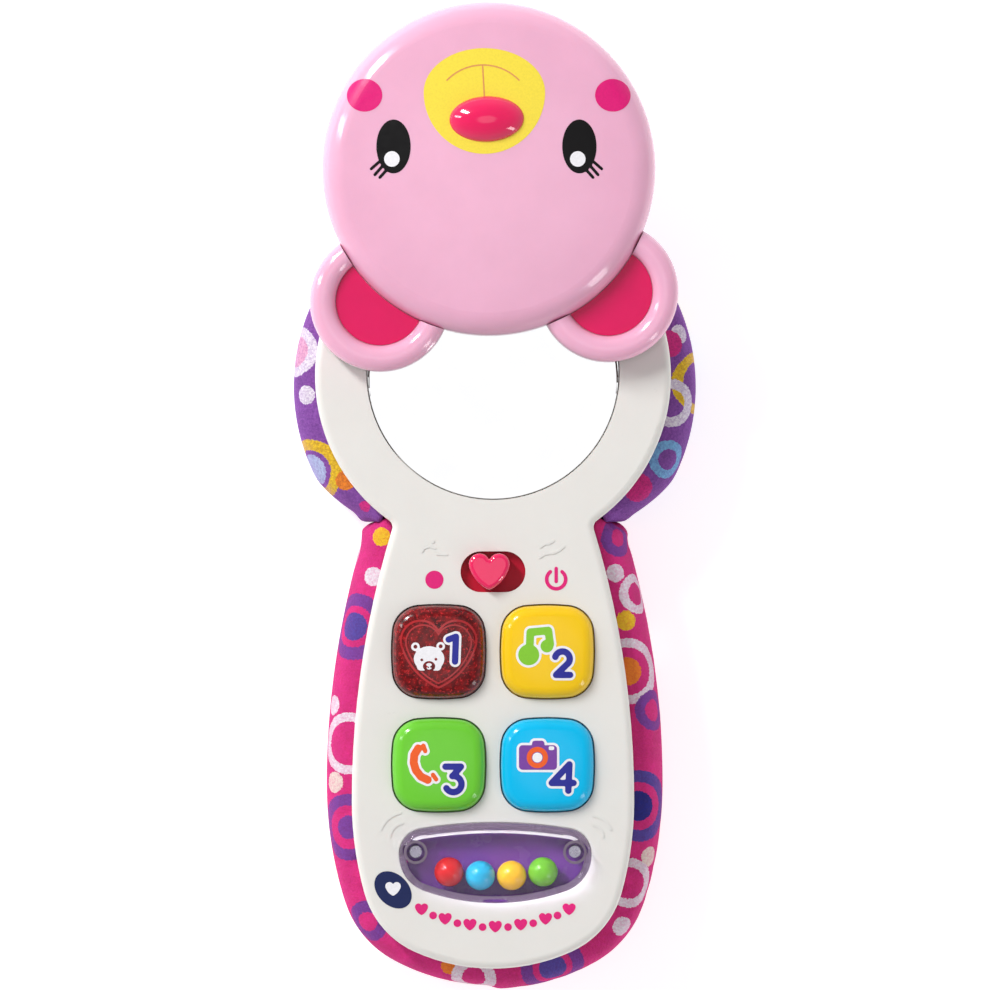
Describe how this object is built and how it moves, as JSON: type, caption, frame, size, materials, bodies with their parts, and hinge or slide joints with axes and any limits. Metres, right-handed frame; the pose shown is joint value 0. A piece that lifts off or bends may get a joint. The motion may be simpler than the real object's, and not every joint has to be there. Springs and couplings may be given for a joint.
{
  "type": "toy cell phone",
  "caption": "Infant toy phone: padded fabric body, white front with push buttons, a heart slide switch, a bead window and a mirror under a swivelling bear-face cover.",
  "frame": {"origin": "middle of the bounding box, on the flat of the padded back that the phone lies on", "axes": "+Z out of the front, +Y from the bead window towards the bear cover, +X to the right of someone who looks at the front"},
  "size_m": [0.0892, 0.2166, 0.0454],
  "materials": {
    "front_white": "satin white moulding",
    "shell_grey": "fine textured moulding",
    "fabric_purple": "printed velour",
    "fabric_pink": "printed velour",
    "mirror": "child-safe acrylic mirror",
    "cover_pink": "gloss moulding",
    "magenta": "gloss moulding",
    "slide_crimson": "satin moulding",
    "button_red": "translucent red gloss",
    "button_yellow": "gloss moulding",
    "button_green": "gloss moulding",
    "button_blue": "gloss moulding",
    "window_clear": "clear gloss moulding",
    "tray_purple": "satin moulding",
    "bead_red": "gloss",
    "bead_cyan": "gloss",
    "bead_yellow": "gloss",
    "bead_green": "gloss",
    "board_green": "solder mask",
    "black_plastic": "satin black",
    "steel": "plated steel",
    "silicone": "silicone rubber",
    "cell_label": "plain sleeve",
    "lamp": "diffused lamp",
    "print_white": "printed ink",
    "print_navy": "printed ink",
    "print_black": "printed ink",
    "print_yellow": "printed ink",
    "print_green": "printed ink",
    "print_orange": "printed ink",
    "print_purple": "printed ink",
    "print_magenta": "printed ink"
  },
  "bodies": {
    "phone": {"front_plate": "front_white", "rear_shell": "shell_grey", "head_cover": "fabric_purple", "handle_cover": "fabric_pink", "mirror": "mirror", "bead_window": "window_clear", "bead_tray": "tray_purple", "window_screws": "steel", "circuit_board": "board_green", "power_switch": "black_plastic", "cover_switch": "black_plastic", "led": "lamp", "loudspeaker": "black_plastic", "battery_cell_1": "cell_label", "battery_cell_2": "cell_label", "battery_contacts": "steel", "battery_door": "shell_grey", "door_screw": "steel", "case_screws": "steel", "rubber_dome_1": "silicone", "rubber_dome_2": "silicone", "rubber_dome_3": "silicone", "rubber_dome_4": "silicone"},
    "cover": {"lid_back": "cover_pink", "lid_face": "cover_pink", "nose": "magenta", "ear_inlay_left": "magenta", "ear_inlay_right": "magenta", "pivot_washer": "steel", "pivot_screw": "steel", "lid_screws": "steel"},
    "heart_slider": {"heart_knob": "magenta", "slide_plate": "slide_crimson", "switch_lever": "black_plastic"},
    "button_1": {"button_1": "button_red"},
    "button_2": {"button_2": "button_yellow"},
    "button_3": {"button_3": "button_green"},
    "button_4": {"button_4": "button_blue"},
    "bead_red": {"bead_red": "bead_red"},
    "bead_cyan": {"bead_cyan": "bead_cyan"},
    "bead_yellow": {"bead_yellow": "bead_yellow"},
    "bead_green": {"bead_green": "bead_green"}
  },
  "joints": [
    {"name": "cover_swivel", "type": "hinge", "parent": "phone", "child": "cover", "pos_m": [0, 0.0493, 0.031], "axis": [0, 0, 1], "range_deg": [-182.4, 0]},
    {"name": "heart_slide", "type": "slide", "parent": "phone", "child": "heart_slider", "axis": [1, 0, 0], "range_m": [-0.0007, 0.0023]},
    {"name": "button_1_press", "type": "slide", "parent": "phone", "child": "button_1", "axis": [0, 0, -1], "range_m": [0, 0.0018], "stiffness_N_per_m": 400, "springref_m": -0.0012, "deforming": ["rubber_dome_1"]},
    {"name": "button_2_press", "type": "slide", "parent": "phone", "child": "button_2", "axis": [0, 0, -1], "range_m": [0, 0.0018], "stiffness_N_per_m": 400, "springref_m": -0.0012, "deforming": ["rubber_dome_2"]},
    {"name": "button_3_press", "type": "slide", "parent": "phone", "child": "button_3", "axis": [0, 0, -1], "range_m": [0, 0.0018], "stiffness_N_per_m": 400, "springref_m": -0.0012, "deforming": ["rubber_dome_3"]},
    {"name": "button_4_press", "type": "slide", "parent": "phone", "child": "button_4", "axis": [0, 0, -1], "range_m": [0, 0.0018], "stiffness_N_per_m": 400, "springref_m": -0.0012, "deforming": ["rubber_dome_4"]},
    {"name": "bead_red_roll", "type": "slide", "parent": "phone", "child": "bead_red", "axis": [0.969, -0.247, 0], "range_m": [-0.003, 0.0028]},
    {"name": "bead_cyan_roll", "type": "slide", "parent": "phone", "child": "bead_cyan", "axis": [1, 0, 0], "range_m": [-0.003, 0.0028]},
    {"name": "bead_yellow_roll", "type": "slide", "parent": "phone", "child": "bead_yellow", "axis": [1, 0, 0], "range_m": [-0.003, 0.0028]},
    {"name": "bead_green_roll", "type": "slide", "parent": "phone", "child": "bead_green", "axis": [0.9677, 0.2521, 0], "range_m": [-0.003, 0.0028]}
  ],
  "couplings": [
    {"joint": "bead_cyan_roll", "follows": "bead_red_roll", "ratio": 1},
    {"joint": "bead_yellow_roll", "follows": "bead_red_roll", "ratio": 1},
    {"joint": "bead_green_roll", "follows": "bead_red_roll", "ratio": 1}
  ]
}
